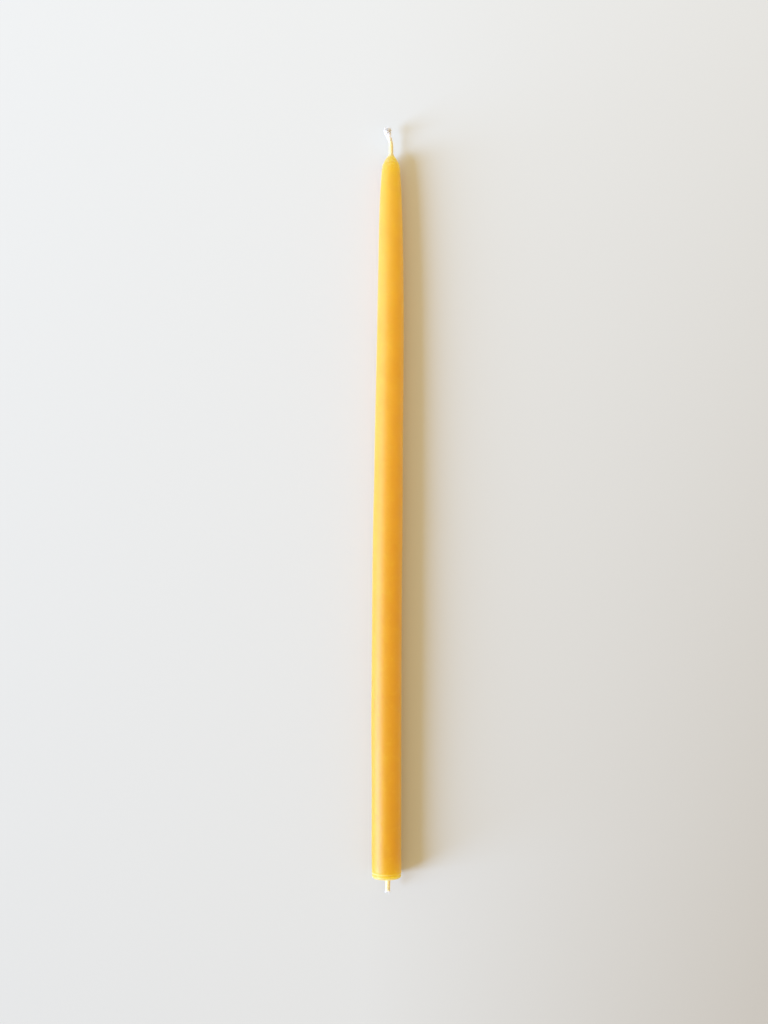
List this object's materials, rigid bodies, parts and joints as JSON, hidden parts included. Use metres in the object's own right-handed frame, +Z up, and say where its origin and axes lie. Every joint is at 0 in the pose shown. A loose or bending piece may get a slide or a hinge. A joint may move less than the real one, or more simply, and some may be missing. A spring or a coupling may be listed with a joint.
{
  "type": "taper candle",
  "caption": "Slim hand-dipped taper candle with a round foot, a slight bow, a rounded nose and a plaited cotton wick, lying on its side.",
  "frame": {"origin": "on the surface the candle lies on, under the middle of its bounding box", "axes": "+Y along the candle from its foot to the free end of its wick, +X to the side it bows to, +Z up from the surface"},
  "size_m": [0.0136, 0.3229, 0.0127],
  "materials": {
    "beeswax": "satin",
    "cotton_wick": "matt"
  },
  "bodies": {
    "root": {"wax_body": "beeswax", "wick": "cotton_wick"}
  },
  "joints": []
}
